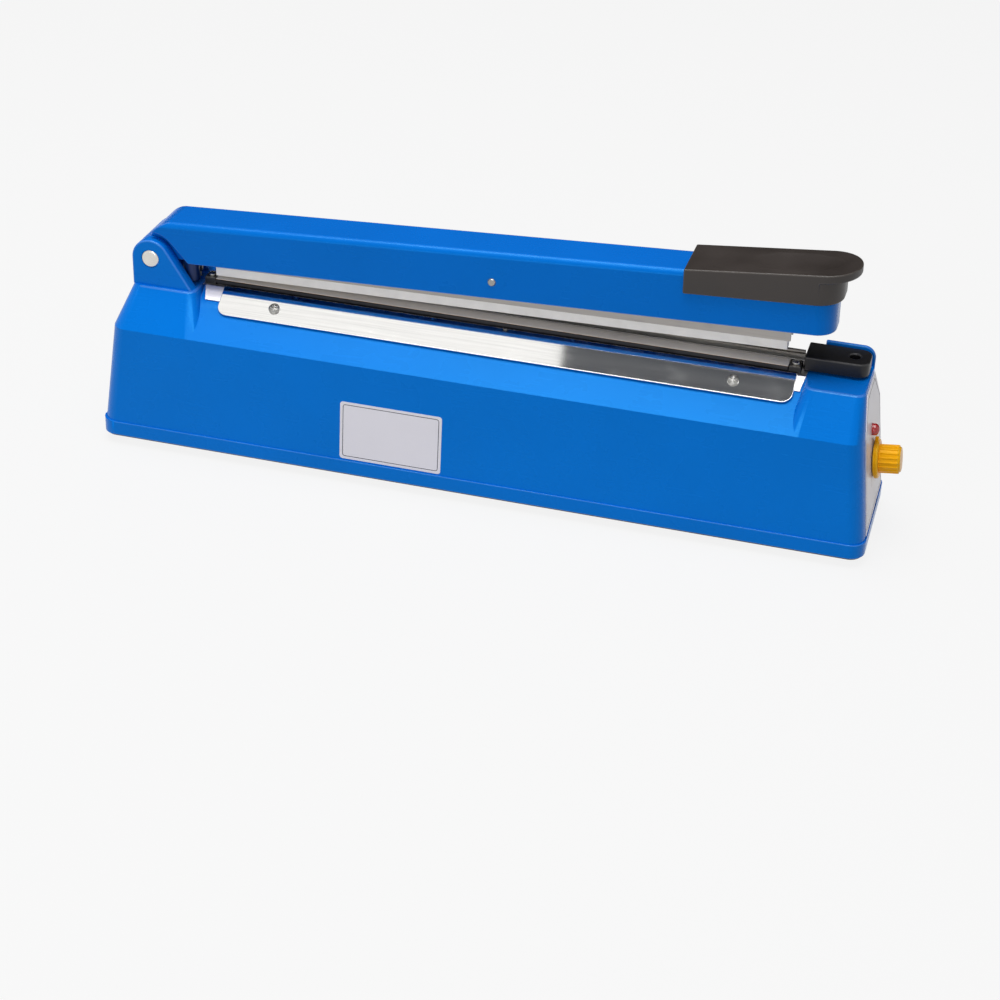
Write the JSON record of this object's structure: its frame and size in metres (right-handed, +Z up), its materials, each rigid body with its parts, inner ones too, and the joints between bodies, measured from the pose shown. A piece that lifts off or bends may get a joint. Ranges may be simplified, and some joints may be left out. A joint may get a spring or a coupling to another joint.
{
  "type": "impulse sealer",
  "caption": "Hand impulse sealer: blue moulded base with a seal bed, a sprung hinged pressing arm, a pull cutter, a timer knob and a pilot lamp.",
  "frame": {"origin": "on the standing surface under the feet, below the middle of the whole outline", "axes": "+X along the seal line from the hinge to the grip and knob, +Y to the rear, +Z up"},
  "size_m": [0.4138, 0.075, 0.1449],
  "materials": {
    "base_blue": "glossy moulded plastic",
    "arm_blue": "glossy moulded plastic",
    "grip_black": "moulded plastic with a fine grain",
    "black_plastic": "moulded plastic",
    "dark_blue_plastic": "moulded plastic",
    "amber_plastic": "glossy moulded plastic",
    "red_plastic": "clear red lens",
    "white_plastic": "moulded plastic",
    "label_white": "bare printed plate",
    "green_board": "circuit board",
    "black_rubber": "moulded rubber",
    "white_silicone": "soft silicone",
    "woven_cloth": "coated glass cloth",
    "tape_brown": "coated glass tape",
    "grey_steel": "coated sheet steel",
    "light_steel": "plated sheet steel",
    "chrome_plate": "bright polished sheet",
    "screw_steel": "plated",
    "bright_steel": "turned and polished",
    "element_alloy": "rolled ribbon",
    "aluminium": "extruded",
    "dark_aluminium": "extruded, dark anodised",
    "core_iron": "stacked sheets",
    "coil_copper": "enamelled winding"
  },
  "bodies": {
    "base": {"base_shell": "base_blue", "bottom_plate": "grey_steel", "rubber_feet": "black_rubber", "bottom_screws": "screw_steel", "cable_grommet": "black_rubber", "hinge_pin": "bright_steel", "hinge_clip": "screw_steel", "return_spring": "bright_steel", "saddle_plate": "light_steel", "seal_bed": "dark_aluminium", "bed_screws": "screw_steel", "insulating_tape": "tape_brown", "heating_element": "element_alloy", "cover_cloth": "woven_cloth", "terminal_blocks": "black_plastic", "terminal_screws": "screw_steel", "retaining_plate": "chrome_plate", "retaining_screws": "screw_steel", "cutter_guide": "aluminium", "transformer_core": "core_iron", "transformer_coil": "coil_copper", "transformer_strap": "screw_steel", "transformer_screws": "screw_steel", "timer_board": "green_board", "timer_capacitor": "dark_blue_plastic", "potentiometer": "aluminium", "pot_nut": "screw_steel", "lamp_lens": "red_plastic", "lamp_holder": "white_plastic", "end_label": "label_white", "switch_body": "black_plastic", "switch_screws": "screw_steel"},
    "arm": {"arm_shell": "arm_blue", "arm_grip": "grip_black", "grip_screws": "screw_steel", "pressure_channel": "aluminium", "silicone_strip": "white_silicone", "channel_screws": "screw_steel", "side_screw": "screw_steel", "spring_cup": "dark_blue_plastic", "switch_striker": "screw_steel"},
    "cutter": {"cutter_bar": "bright_steel", "cutter_grip": "black_plastic", "blade_carrier": "black_plastic", "cutter_blade": "bright_steel", "carrier_screw": "screw_steel"},
    "knob": {"timer_knob": "amber_plastic", "pot_shaft": "bright_steel"},
    "switch": {"switch_button": "white_plastic"}
  },
  "joints": [
    {"name": "arm_hinge", "type": "hinge", "parent": "base", "child": "arm", "pos_m": [-0.18328, 0, 0.0995], "axis": [0, -1, 0], "range_deg": [-1.3, 20], "stiffness_Nm_per_rad": 2.5, "springref_deg": 5.73, "deforming": ["return_spring"]},
    {"name": "cutter_slide", "type": "slide", "parent": "base", "child": "cutter", "axis": [1, 0, 0], "range_m": [0, 0.285]},
    {"name": "timer_turn", "type": "hinge", "parent": "base", "child": "knob", "pos_m": [0.19207, 0, 0.0426], "axis": [0.993, 0, 0.118], "range_deg": [-140, 140]},
    {"name": "switch_press", "type": "slide", "parent": "base", "child": "switch", "axis": [0, 0, -1], "range_m": [0, 0.001], "stiffness_N_per_m": 300, "springref_m": -0.001}
  ]
}
